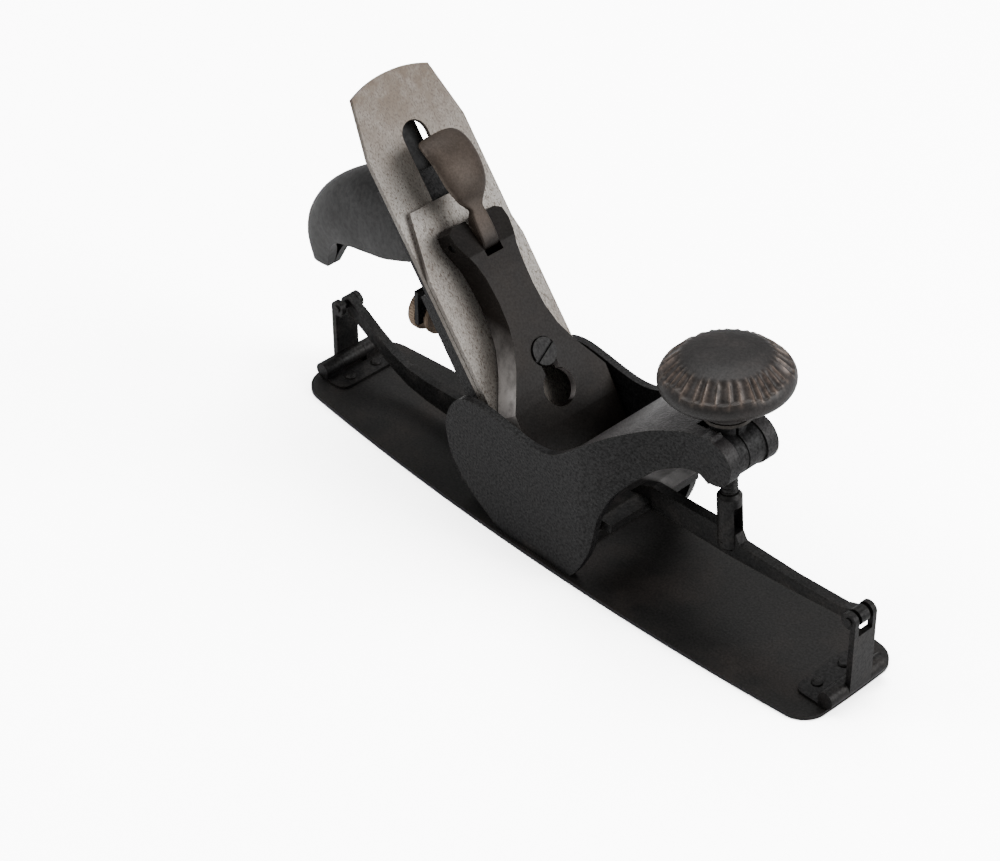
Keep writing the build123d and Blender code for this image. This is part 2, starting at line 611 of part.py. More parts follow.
# Lever cap: a cast waisted plate, hollow beneath, with a keyhole over its screw
cap_side = [(10, 21.6), (52, 21.8), (57, 18.8), (65, 14.0), (73, 10.4), (80.5, 8.7), (89, 8.2),
            (98, 8.6), (104, 9.6), (109, 11.4), (113, 12.5), (117, 12.4), (118.6, 10.0)]
with BuildPart() as lever_cap:
    bed_slab([(10, 6.2), (10, 7.6), (18, 10.4), (25, 12.2), (32, 13.4), (42, 14.9), (52, 15.8),
              (57, 16.1), (73, 16.3), (89, 16.2), (98, 16.0), (107, 15.2), (113, 13.6), (118.6, 12.2),
              (118.6, 4.9), (28, 4.9), (22, 6.2)], -21.9, 21.9)
    with BuildSketch(bed):
        with BuildLine():
            outline = [(y, u) for u, y in cap_side]
            Polyline(*(outline + [(-y, u) for y, u in reversed(outline)]), close=True)
        make_face()
    extrude(amount=30, mode=Mode.INTERSECT)
    # the hollow beneath, a wall's thickness inside the outline
    with BuildSketch(bed):
        with BuildLine():
            inner = [(27, 19.0), (50, 19.2), (57, 15.8), (65, 11.0), (73, 7.6), (80.5, 6.0),
                     (89, 5.6), (98, 5.6)]
            hole = [(y, u) for u, y in inner]
            Polyline(*(hole + [(-y, u) for y, u in reversed(hole)]), close=True)
        make_face()
    hollow_plan = extrude(amount=30, mode=Mode.PRIVATE)
    with BuildSketch(bed_side.offset(-25)):
        with BuildLine():
            Polyline((26, 0), (26, 9.4), (32, 10.4), (42, 11.9), (52, 12.8), (57, 13.1), (73, 13.3),
                     (99, 13.0), (99, 0), close=True)
        make_face()
    hollow_side = extrude(amount=50, mode=Mode.PRIVATE)
    add(hollow_plan & hollow_side, mode=Mode.SUBTRACT)
    bed_round(0, 53, 6.9, 0, 30, mode=Mode.SUBTRACT)
    bed_block(3.5, 53, 66.5, 0, 30, mode=Mode.SUBTRACT)
    bed_round(0, 66.5, 3.5, 0, 30, mode=Mode.SUBTRACT)
    bed_round(0, 66.5, 5.4, 14.7, 30, mode=Mode.SUBTRACT)
    # the cleft for the cam lever and the hole for its pin
    bed_block(3.75, 104.5, 125, 0, 30, mode=Mode.SUBTRACT)
    disc(*on_bed(112, 10), 1.5, -20, 20, mode=Mode.SUBTRACT)
lever_cap.part.label = "lever_cap"
export_step(lever_cap.part, "parts/lever_cap.step")

# Lever cap screw: slotted head in the keyhole, shank down into the bed
with BuildPart() as lever_cap_screw:
    bed_round(0, 66.5, 5.0, 14.72, 17.0)
    bed_round(0, 66.5, 2.95, -6.0, 15)
    with BuildSketch(bed.offset(16.1)):
        with Locations((0, 66.5)):
            Rectangle(12, 1.3, rotation=25)
    extrude(amount=3, mode=Mode.SUBTRACT)
lever_cap_screw.part.label = "lever_cap_screw"
export_step(lever_cap_screw.part, "parts/lever_cap_screw.step")

# Cam lever: a spoon-shaped finger piece with its cam on a pin in the lever cap
with BuildPart() as cam_lever:
    bed_slab([(108.6, 16.0), (108.6, 13.0), (112, 10), (122, 11.5), (130, 13.2), (138, 14.6),
              (145, 16.0), (150, 17.6), (149.6, 19.4), (143, 19.6), (136, 19.0), (128, 17.6),
              (121, 16.6), (114, 16.8)], -8.8, 8.8)
    with BuildSketch(bed):
        with BuildLine():
            spoon = [(104, 3.6), (119, 3.6), (121.5, 3.1), (124.5, 4.2), (128, 6.6), (133, 8.3),
                     (138, 8.8), (143, 7.9), (147, 5.8), (149.4, 3.0), (150, 0.6)]
            rim = [(y, u) for u, y in spoon]
            Polyline(*(rim + [(-y, u) for y, u in reversed(rim)]), close=True)
        make_face()
    extrude(amount=40, mode=Mode.INTERSECT)
    disc(*on_bed(112, 10), 5.6, -3.6, 3.6)
    disc(*on_bed(112, 10), 1.55, -20, 20, mode=Mode.SUBTRACT)
cam_lever.part.label = "cam_lever"
export_step(cam_lever.part, "parts/cam_lever.step")

# Cam pin: across the cleft of the lever cap
with BuildPart() as cam_pin:
    disc(*on_bed(112, 10), 1.49, -11.5, 11.5)
cam_pin.part.label = "cam_pin"
export_step(cam_pin.part, "parts/cam_pin.step")

# Wheel stud: a steel stud screwed into the boss behind the bed
with BuildPart() as wheel_stud:
    with BuildSketch(Plane.YZ.offset(-82.6)):
        with Locations((0, wheel_centre[1])):
            Circle(2.95)
    extrude(amount=39.4)
wheel_stud.part.label = "wheel_stud"
export_step(wheel_stud.part, "parts/wheel_stud.step")

# Depth wheel: a brass nut with a knurled rim and a groove for the adjusting lever
with BuildPart() as depth_wheel:
    with BuildSketch(Plane.XZ):
        with BuildLine():
            wheel_line = [(-4.8, 3.0), (-4.8, 7.9), (-4.0, 8.7), (-1.6, 8.7), (-1.1, 7.9), (-1.1, 5.4),
                          (3.1, 5.4), (3.1, 7.3), (3.5, 7.6), (4.8, 7.6), (4.8, 3.0)]
            Polyline(*[(wheel_centre[0] + x, wheel_centre[1] + z) for x, z in wheel_line], close=True)
        make_face()
    revolve(axis=Axis((0, 0, wheel_centre[1]), (1, 0, 0)))
depth_wheel.part.label = "depth_wheel"
export_step(depth_wheel.part, "parts/depth_wheel.step")

# Adjusting lever: rocks behind the bed, its tip in the cap iron and its fork in the wheel
lever_hub = on_bed(92, -10)
with BuildPart() as adjusting_lever:
    disc(*lever_hub, 3.6, -3.5, 3.5)
    bed_slab([(89.6, -10), (94.6, -10), (95.0, 1.0), (95.0, 3.9), (92.0, 3.9), (91.6, 1.0)], -3.2, 3.2)
    slab([(lever_hub[0] - 2, lever_hub[1] + 3.0), (-75.4, 64.6), (-75.4, 60.4), (-73.6, 60.0),
          (lever_hub[0] + 2, lever_hub[1] - 3.0)], -3.5, 3.5)
    box(-75.4, -73.6, -8.9, 8.9, 49.5, 63.6)
    with BuildSketch(Plane.YZ.offset(-80)):
        with Locations((0, wheel_centre[1])):
            Circle(6.5)
        with Locations((0, wheel_centre[1] - 5)):
            Rectangle(13, 10.0)
    extrude(amount=12, mode=Mode.SUBTRACT)
    disc(*lever_hub, 1.55, -20, 20, mode=Mode.SUBTRACT)
adjusting_lever.part.label = "adjusting_lever"
export_step(adjusting_lever.part, "parts/adjusting_lever.step")

# Adjusting lever pin: through the two lugs behind the bed
with BuildPart() as adjusting_lever_pin:
    disc(*lever_hub, 1.49, -6.9, 6.9)
adjusting_lever_pin.part.label = "adjusting_lever_pin"
export_step(adjusting_lever_pin.part, "parts/adjusting_lever_pin.step")

# Grip: a beak-shaped hollow casting screwed to the back of the bed
root_low = on_bed(109, -3.7)
root_high = on_bed(139.6, -3.7)
grip_lines = [
    (root_low, root_high, 20.8),
    ((-80.5, 78.8), (-97.5, 102.0), 17.5),
    ((-93.3, 73.6), (-113.5, 94.2), 14.6),
    ((-107.5, 68.4), (-128.3, 82.0), 11.8),
    ((-119.0, 62.3), (-138.6, 67.5), 9.2),
    ((-126.0, 53.0), (-142.6, 54.0), 7.0),
    ((-130.5, 43.5), (-141.0, 43.6), 4.8),
]
grip_flat = rounded([(*low, *high, half_width) for low, high, half_width in grip_lines], 2)
grip_stations = [((a, b), (c, d), e) for a, b, c, d, e in grip_flat]


def grip_section(low, high, half_width, wall, rise):
    """One cross section: flat along the rim and arched over the back."""
    dx = high[0] - low[0]
    dz = high[1] - low[1]
    height = (dx * dx + dz * dz) ** 0.5
    up = (dx / height, 0, dz / height)
    place = Plane(origin=(low[0], 0, low[1]), x_dir=(0, 1, 0), z_dir=(-up[2], 0, up[0]))
    sign = 1 if place.y_dir.dot(Vector(*up)) > 0 else -1
    w = half_width - wall
    h = height - wall
    with BuildSketch(place) as section:
        with BuildLine():
            arch = [(-1, 0), (-0.97, 0.3), (-0.85, 0.6), (-0.6, 0.84), (-0.3, 0.96), (0, 1)]
            arch += [(-y, z) for y, z in reversed(arch[:-1])]
            line = [(w * y, sign * h * z) for y, z in arch]
            line = [(-w, -sign * rise)] * (rise > 0) + line + [(w, -sign * rise)] * (rise > 0)
            Polyline(*line, close=True)
        make_face()
    return section.sketch


with BuildPart() as grip:
    loft([grip_section(*station, 0, 0).face() for station in grip_stations], ruled=True)
with BuildPart() as grip_hollow:
    loft([grip_section(*station, 2.8, 2.0).face() for station in grip_stations[2:10]], ruled=True)
with BuildPart() as grip_whole:
    add(grip.part)
    add(grip_hollow.part, mode=Mode.SUBTRACT)
    for y in (-13.0, 13.0):
        bed_round(y, 124, 2.5, -14, -3, mode=Mode.SUBTRACT)
grip_whole.part.label = "grip"
export_step(grip_whole.part, "parts/grip.step")

# Grip screws: two countersunk screws through the bed into the grip's root
with BuildPart() as grip_screws:
    for y in (-13.0, 13.0):
        bed_round(y, 124, 2.45, -13.5, -1.0)
        bed_round(y, 124, 4.3, -1.95, -0.2)
        with BuildSketch(bed.offset(-0.9)):
            with Locations((y, 124)):
                Rectangle(10, 1.2, rotation=35)
        extrude(amount=1.5, mode=Mode.SUBTRACT)
grip_screws.part.label = "grip_screws"
export_step(grip_screws.part, "parts/grip_screws.step")
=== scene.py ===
import bpy, bmesh, math, random
from mathutils import Matrix, Vector


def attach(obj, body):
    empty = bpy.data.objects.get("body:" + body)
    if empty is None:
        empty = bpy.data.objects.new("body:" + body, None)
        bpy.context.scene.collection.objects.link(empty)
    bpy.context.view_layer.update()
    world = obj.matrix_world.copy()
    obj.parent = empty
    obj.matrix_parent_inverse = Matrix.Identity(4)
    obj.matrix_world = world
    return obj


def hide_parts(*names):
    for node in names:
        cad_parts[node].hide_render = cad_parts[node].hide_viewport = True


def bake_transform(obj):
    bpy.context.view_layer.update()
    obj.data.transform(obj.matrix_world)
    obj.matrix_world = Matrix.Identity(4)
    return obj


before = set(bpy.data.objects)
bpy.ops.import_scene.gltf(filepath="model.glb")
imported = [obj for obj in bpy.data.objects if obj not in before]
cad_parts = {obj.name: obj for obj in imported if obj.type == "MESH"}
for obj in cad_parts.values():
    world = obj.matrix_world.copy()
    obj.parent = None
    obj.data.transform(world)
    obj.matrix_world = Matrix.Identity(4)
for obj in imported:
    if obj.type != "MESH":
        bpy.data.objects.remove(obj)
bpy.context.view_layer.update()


# SOLE
# One thin flexible sheet of spring steel, cut a little barrel shaped so that it bends
# evenly, with the mouth cut across it. It is riveted to the block and to both hinge plates.
MM = 0.001


def steps(first, last, count):
    """Evenly spaced values from first to last, both included."""
    return [first + (last - first) * i / count for i in range(count + 1)]


def noise(nodes, links, scale, detail, rough, stretch=1.0, turn=0.0):
    """A noise in metres on the piece itself, drawn out along X after a turn about Y if need be."""
    coord = nodes.new("ShaderNodeTexCoord")
    mapping = nodes.new("ShaderNodeMapping")
    mapping.vector_type = "TEXTURE"
    mapping.inputs["Rotation"].default_value = (0, turn, 0)
    mapping.inputs["Scale"].default_value = (stretch, 1, 1)
    links.new(coord.outputs["Object"], mapping.inputs["Vector"])
    tex = nodes.new("ShaderNodeTexNoise")
    tex.inputs["Scale"].default_value = scale
    tex.inputs["Detail"].default_value = detail
    tex.inputs["Roughness"].default_value = rough
    links.new(mapping.outputs["Vector"], tex.inputs["Vector"])
    return tex.outputs["Fac"]


def ramp(nodes, links, source, stops):
    """A colour ramp fed by source."""
    node = nodes.new("ShaderNodeValToRGB")
    band = node.color_ramp
    while len(band.elements) < len(stops):
        band.elements.new(0.5)
    for element, (place, colour) in zip(band.elements, stops):
        element.position = place
        element.color = (*colour, 1)
    links.new(source, node.inputs["Fac"])
    return node.outputs["Color"]


def mixed(nodes, links, factor, under, over, how="MIX"):
    """over laid on under by factor. Each may be a socket or a plain value."""
    node = nodes.new("ShaderNodeMix")
    node.data_type = "RGBA"
    node.blend_type = how
    for socket, value in ((node.inputs[0], factor), (node.inputs[6], under), (node.inputs[7], over)):
        if isinstance(value, bpy.types.NodeSocket):
            links.new(value, socket)
        elif isinstance(value, (int, float)):
            socket.default_value = value
        else:
            socket.default_value = (*value, 1)
    return node.outputs[2]


def grey(value):
    """A grey for a ramp."""
    return (value, value, value)


def zone(nodes, links, limits):
    """1 inside a place on the piece: limits name an axis or a facing, the value for 0 and that for 1."""
    coord = nodes.new("ShaderNodeTexCoord")
    total = None
    for which, none, full in limits:
        apart = nodes.new("ShaderNodeSeparateXYZ")
        links.new(coord.outputs["Normal" if which.startswith("n") else "Object"], apart.inputs["Vector"])
        span = nodes.new("ShaderNodeMapRange")
        span.inputs["From Min"].default_value = none
        span.inputs["From Max"].default_value = full
        links.new(apart.outputs[which[-1].upper()], span.inputs["Value"])
        inside = span.outputs["Result"]
        total = inside if total is None else mixed(nodes, links, 1.0, total, inside, "MULTIPLY")
    return total


def finish(name, metallic, colours, rough, bump, grain, patch, stretch=1.0, turn=0.0,
           pits=None, specular=0.5, worn_and_glint=None, speck=0.72, spots=()):
    """A worn metal finish: patches, grain and pits, and marks laid on the spots and where the mesh says so:
    wear and tint, and on some of them a painted highlight.
    """
    mat = bpy.data.materials.new(name)
    mat.use_nodes = True
    nodes, links = mat.node_tree.nodes, mat.node_tree.links
    shader = nodes["Principled BSDF"]
    shader.inputs["Metallic"].default_value = metallic
    wide = noise(nodes, links, patch, 5.0, 0.62, stretch, turn)
    fine = noise(nodes, links, grain, 3.0, 0.6, stretch, turn)
    base = ramp(nodes, links, wide, [(0.30, colours[0]), (0.5, colours[1]), (0.72, colours[2])])
    dots = ramp(nodes, links, fine, [(0.35, grey(speck)), (0.65, grey(1.0))])
    colour = mixed(nodes, links, 0.75, base, dots, "MULTIPLY")
    links.new(mixed(nodes, links, 1.0, grey(specular), dots, "MULTIPLY"), shader.inputs["Specular IOR Level"])
    gloss = ramp(nodes, links, wide, [(0.25, grey(rough[0])), (0.75, grey(rough[1]))])
    height = fine
    # lighter colour where the mesh value says: wear, and on the knob a painted glint too
    if worn_and_glint:
        wear = nodes.new("ShaderNodeAttribute")
        wear.attribute_name = "wear"
        patchy = ramp(nodes, links, noise(nodes, links, 260, 4.0, 0.7), [(0.38, grey(0.15)), (0.6, grey(1))])
        amount = mixed(nodes, links, 1.0, wear.outputs["Color"], patchy, "MULTIPLY")
        colour = mixed(nodes, links, amount, colour, worn_and_glint)
        gloss = mixed(nodes, links, amount, gloss, grey(0.28))
    for over, shine, limits in spots:
        broken = ramp(nodes, links, noise(nodes, links, 150, 5.0, 0.7), [(0.34, grey(0.5)), (0.58, grey(1))])
        place = mixed(nodes, links, 1.0, zone(nodes, links, limits), broken, "MULTIPLY")
        colour = mixed(nodes, links, place, colour, over)
        gloss = mixed(nodes, links, place, gloss, grey(shine))
    if pits:
        pit_scale, share, rust = pits
        speckle = noise(nodes, links, pit_scale, 3.0, 0.6, stretch, turn)
        holes = ramp(nodes, links, speckle, [(share, grey(1)), (share + 0.07, grey(0))])
        colour = mixed(nodes, links, holes, colour, rust)
        height = mixed(nodes, links, 0.6, fine, mixed(nodes, links, 1.0, grey(1.0), holes, "SUBTRACT"))
    links.new(colour, shader.inputs["Base Color"])
    links.new(gloss, shader.inputs["Roughness"])
    bumps = nodes.new("ShaderNodeBump")
    bumps.inputs["Strength"].default_value = bump
    bumps.inputs["Distance"].default_value = 0.0003
    links.new(height, bumps.inputs["Height"])
    links.new(bumps.outputs["Normal"], shader.inputs["Normal"])
    return mat


def piece(name, verts, faces, material, body, smooth=40, bevel=None, wear=None):
    """A mesh piece in millimetres, made, finished and set on its body. Its per-vertex value is wear, and on
    the knob a painted glint as well.
    """
    mesh = bpy.data.meshes.new(name)
    mesh.from_pydata([[c * MM for c in v] for v in verts], [], faces)
    if wear:
        layer = mesh.attributes.new("wear", "FLOAT", "POINT")
        layer.data.foreach_set("value", wear)
    bm = bmesh.new()
    bm.from_mesh(mesh)
    bmesh.ops.remove_doubles(bm, verts=bm.verts, dist=1e-6)
    bmesh.ops.recalc_face_normals(bm, faces=bm.faces)
    bm.to_mesh(mesh)
    bm.free()
    obj = bpy.data.objects.new(name, mesh)
    bpy.context.scene.collection.objects.link(obj)
    mesh.materials.append(material)
    if bevel:
        soften(obj, bevel)
    mesh.shade_smooth()
    mesh.set_sharp_from_angle(angle=math.radians(smooth))
    if body:
        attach(obj, body)
    return obj


def soften(obj, width, segments=2, angle=35, rim=None):
    """Rounds the edges by width in millimetres, and finishes them in rim."""
    rounded = obj.modifiers.new("rounded", "BEVEL")
    rounded.width = width * MM
    rounded.segments = segments
    rounded.limit_method = "ANGLE"
    rounded.angle_limit = math.radians(angle)
    rounded.harden_normals = False
    if rim:
        obj.data.materials.append(rim)
        rounded.material = 1


def dress(material, slot, *names, bevel=None, segments=2, rim=None):
    """Gives carried-over pieces their finish and softened edges, the edges in rim if it is given."""
    for name in names:
        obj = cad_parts[name]
        obj.data.materials.clear()
        obj.data.materials.append(material)
        if bevel:
            soften(obj, bevel, segments, rim=rim)


def rings(rows, closed=True, caps=True):
    """Faces over rows of points of one length, from the first row to the last."""
    wide = len(rows[0])
    faces = []
    for i in range(len(rows) - 1):
        for j in range(wide if closed else wide - 1):
            k = (j + 1) % wide
            faces.append((i * wide + j, i * wide + k, (i + 1) * wide + k, (i + 1) * wide + j))
    if caps:
        faces.append(tuple(range(wide)))
        faces.append(tuple((len(rows) - 1) * wide + j for j in range(wide)))
    return [point for row in rows for point in row], faces


def smooth_line(points, parts):
    """A Catmull-Rom line through all the points."""
    out = []
    for i in range(len(points) - 1):
        p, q, r, s = points[max(i - 1, 0)], points[i], points[i + 1], points[min(i + 2, len(points) - 1)]
        for k in range(parts):
            t = k / parts
            out.append(tuple(0.5 * (2 * b + (c - a) * t + (2 * a - 5 * b + 4 * c - d) * t * t
                                    + (3 * b - a - 3 * c + d) * t**3) for a, b, c, d in zip(p, q, r, s)))
    return out + [tuple(points[-1])]


def ease(low, high, x):
    """0 below low, 1 above high, smooth between."""
    t = min(1.0, max(0.0, (x - low) / (high - low)))
    return t * t * (3 - 2 * t)


def thread(name, radius, first, last, pitch, place, material, body):
    """A screw thread: a low ridge wound round a rod whose axis place gives."""
    ridge = [(-0.2, -0.45), (0.32, -0.08), (0.32, 0.08), (-0.2, 0.45)]
    per_turn = 28
    turns = (last - first) / pitch
    rows = []
    for i in range(int(turns * per_turn) + 1):
        angle = i / per_turn * 2 * math.pi
        mid = first + pitch * i / per_turn
        rows.append([place(radius + lift, mid + side * pitch, angle) for lift, side in ridge])
    verts, faces = rings(rows)
    return piece(name, verts, faces, material, body, smooth=30)


sole_colours = [(0.009, 0.0083, 0.0081), (0.016, 0.0145, 0.0138), (0.034, 0.0275, 0.0245)]
sole_finish = finish("sole_dark_steel", 0.35, sole_colours, (0.44, 0.60), bump=0.16, grain=1200, patch=30,
                     specular=0.45, speck=0.65)
sole_thick, half_length = 1.6, 127.0
toe_corner, heel_corner = 8.3, 10.0
mouth_back, mouth_front, mouth_half = 7.2, 12.7, 22.9
halves_meet = 9.95


def sole_half(x):
    """Half width of the sole at x, corners rounded."""
    t = x / 100
    w = 28.7 + 0.75 * t - 3.79 * t * t - 0.18 * t**4
    radius = toe_corner if x > 0 else heel_corner
    over = abs(x) - (half_length - radius)
    if over > 0:
        w -= radius - math.sqrt(max(0.0, radius**2 - min(over, radius) ** 2))
    return w


def sole_sheet(name, stations):
    """Half of the sheet as a flat grid, its ends bowed out a little toward their middle, notched at the
    mouth.
    """
    across = steps(-1, 1, 24)
    verts, faces = [], []
    for z in (0.0, sole_thick):
        for x in stations:
            w = sole_half(x)
            end = max(0.0, abs(x) / half_length - 0.85) / 0.15
            for t in across:
                y = t * w
                bulge = (1.0 if x > 0 else 0.6) * end * (1 - (y / 30) ** 2)
                verts.append((x + math.copysign(bulge, x), y, z))
    wide, rows = len(across), len(stations)
    layer = wide * rows

    def cut(i, j):
        mid_x = (stations[i] + stations[i + 1]) / 2
        mid_y = (across[j] + across[j + 1]) / 2 * sole_half(mid_x)
        return mouth_back < mid_x < mouth_front and abs(mid_y) < mouth_half

    kept = {(i, j) for i in range(rows - 1) for j in range(wide - 1) if not cut(i, j)}
    for i, j in kept:
        a, b, c, d = i * wide + j, i * wide + j + 1, (i + 1) * wide + j + 1, (i + 1) * wide + j
        faces.append((a, b, c, d))
        faces.append((d + layer, c + layer, b + layer, a + layer))
        for (di, dj), (p, q) in zip(((-1, 0), (0, 1), (1, 0), (0, -1)), ((a, b), (b, c), (c, d), (d, a))):
            if (i + di, j + dj) not in kept:
                faces.append((p, p + layer, q + layer, q))
    obj = piece(name, verts, faces, sole_finish, None, bevel=0.3)
    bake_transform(obj)
    return obj


corner = steps(0.1, math.pi / 2, 12)
toe_stations = [halves_meet, mouth_front] + steps(16.0, half_length - toe_corner, 36)
toe_stations += [half_length - toe_corner + toe_corner * math.sin(a) for a in corner]
heel_stations = [-half_length + heel_corner - heel_corner * math.sin(a) for a in reversed(corner)]
heel_stations += steps(heel_corner - half_length, 2.0, 40) + [mouth_back, halves_meet]
toe_sole = sole_sheet("sole_toe_half", toe_stations)
heel_sole = sole_sheet("sole_heel_half", heel_stations)
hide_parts("sole")
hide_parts("sole")

# MOUTH BLOCK
# A steel block riveted on the sole behind the mouth, its ends let in flush with the cheeks.
# Two countersunk screws draw it up to the foot of the bed.
steel_colours = [(0.010, 0.0097, 0.0097), (0.016, 0.0152, 0.015), (0.034, 0.030, 0.028)]
dark_steel = finish("dark_steel", 0.45, steel_colours, (0.36, 0.50), bump=0.25, grain=1000, patch=120,
                    specular=0.4, speck=0.5)
dress(dark_steel, "sole_steel", "sole_block", bevel=0.35)
dress(dark_steel, "dark_steel", "block_rivets", "sole_screws", bevel=0.08)

# BODY CASTING
# Two cheeks, the bed between them and the arm to the front, cast in one and japanned black.
# Its edges are rubbed bare, with a painted highlight laid along them, and the arm's upward top is painted
# lighter: worn, and a painted highlight where light falls on it. The arm's web carries no mark.
black_colours = [(0.008, 0.008, 0.0085), (0.012, 0.0115, 0.012), (0.018, 0.017, 0.017)]
# the arm's upward faces painted lighter: wear and a painted highlight
arm_top_worn_and_highlit = [("nz", 0.35, 0.8), ("x", 0.012, 0.030)]
cast_japan = finish("cast_japan", 0.0, black_colours, (0.42, 0.54), bump=1.0, grain=1100, patch=55,
                    specular=0.36, speck=0.40, spots=[((0.055, 0.051, 0.051), 0.38, arm_top_worn_and_highlit)])
# edge rims: bare worn metal, made lighter still as a painted highlight along the rounded edges
rubbed_and_highlit_colours = [(0.04, 0.037, 0.035), (0.14, 0.128, 0.12), (0.36, 0.335, 0.32)]
rubbed = finish("rubbed_edge", 0.6, rubbed_and_highlit_colours, (0.34, 0.46), bump=0.2, grain=700, patch=190)
dress(cast_japan, "japanned_iron", "body_casting", bevel=0.7, segments=3, rim=rubbed)

# GRIP
# A hollow beak-shaped iron casting, japanned like the body and screwed to the back of the bed.
# Its root has a narrow tang, for the dark metal seen through the top of the iron's slot.
bed_angle, bed_foot = math.radians(52.45), 8.97


def on_bed(u, n, y=0.0):
    """The point u up the bed and n off it."""
    return (bed_foot - u * math.cos(bed_angle) + n * math.sin(bed_angle), y,
            u * math.sin(bed_angle) + n * math.cos(bed_angle))


def arch(low, high, half_width, wall, count=44):
    """One section of the grip: points over its back from the near rim to the far one."""
    dx, dz = high[0] - low[0], high[1] - low[1]
    height = math.hypot(dx, dz)
    tall, wide = max(0.2, 1 - wall / height), max(0.2, half_width - wall)
    points = []
    for a in steps(0, math.pi, count):
        c, b = math.cos(a), math.sin(a)
        side = -math.copysign(abs(c) ** (2 / 2.3), c)
        rise = max(b, 0.0) ** (2 / 2.3) * tall
        points.append((low[0] + dx * rise, side * wide, low[1] + dz * rise))
    return points


root_low, root_high = on_bed(113.5, -3.7), on_bed(139.6, -3.7)
grip_lines = [
    # lower point's x and z, upper point's x and z, half width
    (root_low[0], root_low[2], root_high[0], root_high[2], 20.8),
    (-80.5, 78.8, -97.5, 102.0, 17.5),
    (-93.3, 73.6, -113.5, 94.2, 14.6),
    (-107.5, 68.4, -128.3, 82.0, 11.8),
    (-118.6, 62.6, -138.6, 67.5, 8.7),
    (-125.4, 54.4, -142.5, 54.0, 5.8),
    (-130.0, 44.0, -140.9, 42.2, 3.0),
]
stations = smooth_line(grip_lines, 9)
outer = [arch((a, b), (c, d), w, 0.0) for a, b, c, d, w in stations]
inner = []
for place, (a, b, c, d, w) in enumerate(stations):
    closing = ease(0.72, 0.97, place / (len(stations) - 1))
    inner.append(arch((a, b), (c, d), w, 2.4 + closing * (w - 2.6)))
verts, faces = rings(outer, closed=False, caps=False)
inside, more = rings(inner, closed=False, caps=False)
shift, wide, last = len(verts), len(outer[0]), len(outer) - 1
verts += inside
faces += [tuple(shift + v for v in reversed(f)) for f in more]
for i in range(last):
    for j in (0, wide - 1):
        a, b = i * wide + j, (i + 1) * wide + j
        faces.append((a, b, b + shift, a + shift))
for i in (0, last):
    for j in range(wide - 1):
        a = i * wide + j
        faces.append((a, a + 1, a + 1 + shift, a + shift))
satin_colours = [(0.008, 0.0078, 0.008), (0.012, 0.0115, 0.0115), (0.020, 0.0185, 0.018)]
satin = finish("satin_japan", 0.0, satin_colours, (0.40, 0.52), bump=0.12, grain=500, patch=80,
               specular=0.29, speck=0.6)
grip = piece("grip_shell", verts, faces, satin, "plane_body", smooth=50)
soften(grip, 0.9, 3, angle=50)
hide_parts("grip")
tang_outline = [(-6.05, 120.0), (-6.05, 158.0), (-5.0, 161.0), (-2.6, 162.8), (0.0, 163.4),
                (2.6, 162.8), (5.0, 161.0), (6.05, 158.0), (6.05, 120.0)]
verts, faces = rings([[on_bed(u, n, y) for y, u in tang_outline] for n in (-3.65, -6.4)])
tang = piece("grip_tang", verts, faces, satin, "plane_body", bevel=0.4)
dress(dark_steel, "dark_steel", "grip_screws", bevel=0.1)

# LEVERS
# Two steel levers, each forked round the iron, pivot on pins inside the cheeks and mesh there,
# so that both ends of the sole bend together. The top of the front one's far half is painted lighter, a
# painted highlight where light falls on it.
# painted highlight: the upward top of the front lever's far half, lit while the near half lies in shade
lever_top_highlight = [("nz", 0.5, 0.9), ("x", 0.0425, 0.040), ("y", 0.006, 0.009)]
lever_steel = finish("lever_steel", 0.45, steel_colours, (0.36, 0.50), bump=0.25, grain=1000, patch=120,
                     specular=0.4, speck=0.5, spots=[((0.17, 0.165, 0.163), 0.42, lever_top_highlight)])
dress(lever_steel, "dark_steel", "front_lever", bevel=0.3, rim=rubbed)
dress(dark_steel, "dark_steel", "rear_lever", bevel=0.3, rim=rubbed)
dress(dark_steel, "dark_steel", "lever_pivots", bevel=0.1)

# HINGES AND LINKS
# Steel plates, rolled into knuckles and riveted to the ends of the sole. Upright steel links
# on pins join them to the levers.
dress(dark_steel, "sole_steel", "front_hinge_plate", "rear_hinge_plate", bevel=0.2, rim=rubbed)
dress(dark_steel, "dark_steel", "front_link", "rear_link", bevel=0.3, rim=rubbed)
dress(dark_steel, "dark_steel", "front_hinge_pin", "rear_hinge_pin", "front_link_pin", "rear_link_pin",
      "front_plate_rivets", "rear_plate_rivets", bevel=0.25)

# SWIVEL AND SCREW
# A japanned block, which rocks on pins in the forked arm, carries the knob on an oiled steel
# washer. The steel clevis screw below it is pinned to the front lever.
lean = math.radians(4.5)
knob_centre = (65.6, 0.0, 97.0)
knob_radius, flutes = 22.75, 36


def on_spindle(radius, height, angle):
    """A point round the leaning spindle."""
    out = radius * math.cos(angle)
    return (knob_centre[0] - height * math.sin(lean) + out * math.cos(lean), radius * math.sin(angle),
            knob_centre[2] + height * math.cos(lean) + out * math.sin(lean))


japan = finish("black_japan", 0.0, black_colours, (0.42, 0.54), bump=0.6, grain=900, patch=55,
               specular=0.34, speck=0.35)
dress(japan, "dark_steel", "swivel_block", bevel=0.6, segments=3, rim=rubbed)
dress(dark_steel, "dark_steel", "swivel_pins", "knob_collar", "clevis_screw", "clevis_pin", bevel=0.25)
thread("rod_thread", 2.7, -46.0, -35.4, 1.6, on_spindle, dark_steel, "clevis_body")
bright = finish("oiled_steel", 0.7, [(0.022, 0.020, 0.018), (0.045, 0.040, 0.036), (0.09, 0.08, 0.07)],
                (0.34, 0.45), bump=0.15, grain=1500, patch=300)
dress(bright, "bright_steel", "thrust_washer", bevel=0.2)

